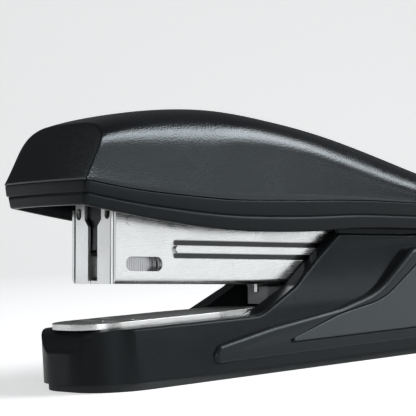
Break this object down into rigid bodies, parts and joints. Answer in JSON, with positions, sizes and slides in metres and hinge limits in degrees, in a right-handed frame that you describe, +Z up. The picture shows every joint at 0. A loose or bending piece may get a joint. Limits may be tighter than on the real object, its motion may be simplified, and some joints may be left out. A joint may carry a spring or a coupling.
{
  "type": "desktop stapler",
  "caption": "Desktop stapler with a domed grained cover over a stepped rim, a windowed steel magazine, and a long base with raised cheeks round the hinge.",
  "frame": {"origin": "on the floor under the middle of the stapler's length and width", "axes": "+X to the hinged rear, so the nose is at -X; +Z up; the stapler is symmetric about Y = 0"},
  "size_m": [0.1583, 0.037, 0.0686],
  "materials": {
    "cover_grain": "fine leather-like grain, soft sheen along the shoulder",
    "rim_satin": "smooth satin",
    "base_satin": "satin enamel",
    "wing_satin": "satin",
    "panel_soft": "soft matt",
    "sole_rubber": "matt rubber",
    "sheet_nickel": "nickel-plated, brushed",
    "frame_steel": "zinc-plated sheet",
    "anvil_steel": "nickel-plated",
    "driver_steel": "hardened, blackened",
    "spring_steel": "drawn wire",
    "pin_steel": "turned",
    "staple_wire": "galvanised wire",
    "housing_grey": "matt, finely textured",
    "pusher_black": "moulded",
    "screw_zinc": "zinc-plated"
  },
  "bodies": {
    "base": {"base_shell": "base_satin", "sole_pad": "sole_rubber", "base_frame": "frame_steel", "hinge_pin": "pin_steel", "pin_clip_left": "pin_steel", "pin_clip_right": "pin_steel", "lift_spring": "spring_steel", "anvil_plate": "anvil_steel", "side_wing_left": "wing_satin", "side_wing_right": "wing_satin", "side_panel_left": "panel_soft", "side_panel_right": "panel_soft", "base_screw_1": "screw_zinc", "base_screw_2": "screw_zinc", "base_screw_3": "screw_zinc", "base_screw_4": "screw_zinc"},
    "anvil": {"anvil_disc": "anvil_steel", "anvil_button": "pusher_black", "anvil_spring": "spring_steel"},
    "magazine": {"magazine_channel": "sheet_nickel", "magazine_sleeve": "sheet_nickel", "core_rail": "frame_steel", "guide_rod": "pin_steel", "rod_holder_front": "frame_steel", "rod_holder_rear": "frame_steel", "pusher_spring": "spring_steel", "staple_strip": "staple_wire", "hinge_bush": "pin_steel", "spring_housing": "housing_grey", "sleeve_rivet_left": "sheet_nickel", "sleeve_rivet_right": "sheet_nickel", "spring_seat": "sheet_nickel", "spring_bridge": "sheet_nickel"},
    "pusher": {"pusher": "pusher_black"},
    "handle": {"top_cover": "cover_grain", "rim_band": "rim_satin", "press_arm": "frame_steel", "driver_blade": "driver_steel", "driver_rivet_left": "driver_steel", "driver_rivet_right": "driver_steel", "handle_spring": "spring_steel", "cover_screw_front": "screw_zinc", "cover_screw_rear": "screw_zinc"}
  },
  "joints": [
    {"name": "magazine_pivot", "type": "hinge", "parent": "base", "child": "magazine", "pos_m": [0.06015, 0, 0.029], "axis": [0, -1, 0], "range_deg": [0, 4], "stiffness_Nm_per_rad": 6, "springref_deg": -3.44, "deforming": ["lift_spring"]},
    {"name": "handle_pivot", "type": "hinge", "parent": "magazine", "child": "handle", "pos_m": [0.06015, 0, 0.029], "axis": [0, -1, 0], "range_deg": [-60, 3.5], "stiffness_Nm_per_rad": 4, "springref_deg": -1.15, "deforming": ["handle_spring"]},
    {"name": "pusher_slide", "type": "slide", "parent": "magazine", "child": "pusher", "axis": [0.9976, 0, -0.0698], "range_m": [0, 0.045], "stiffness_N_per_m": 40, "springref_m": -0.03, "deforming": ["pusher_spring"]},
    {"name": "anvil_turn", "type": "hinge", "parent": "base", "child": "anvil", "pos_m": [-0.06035, 0, 0.015], "axis": [0, 0, 1], "range_deg": [0, 180]}
  ]
}
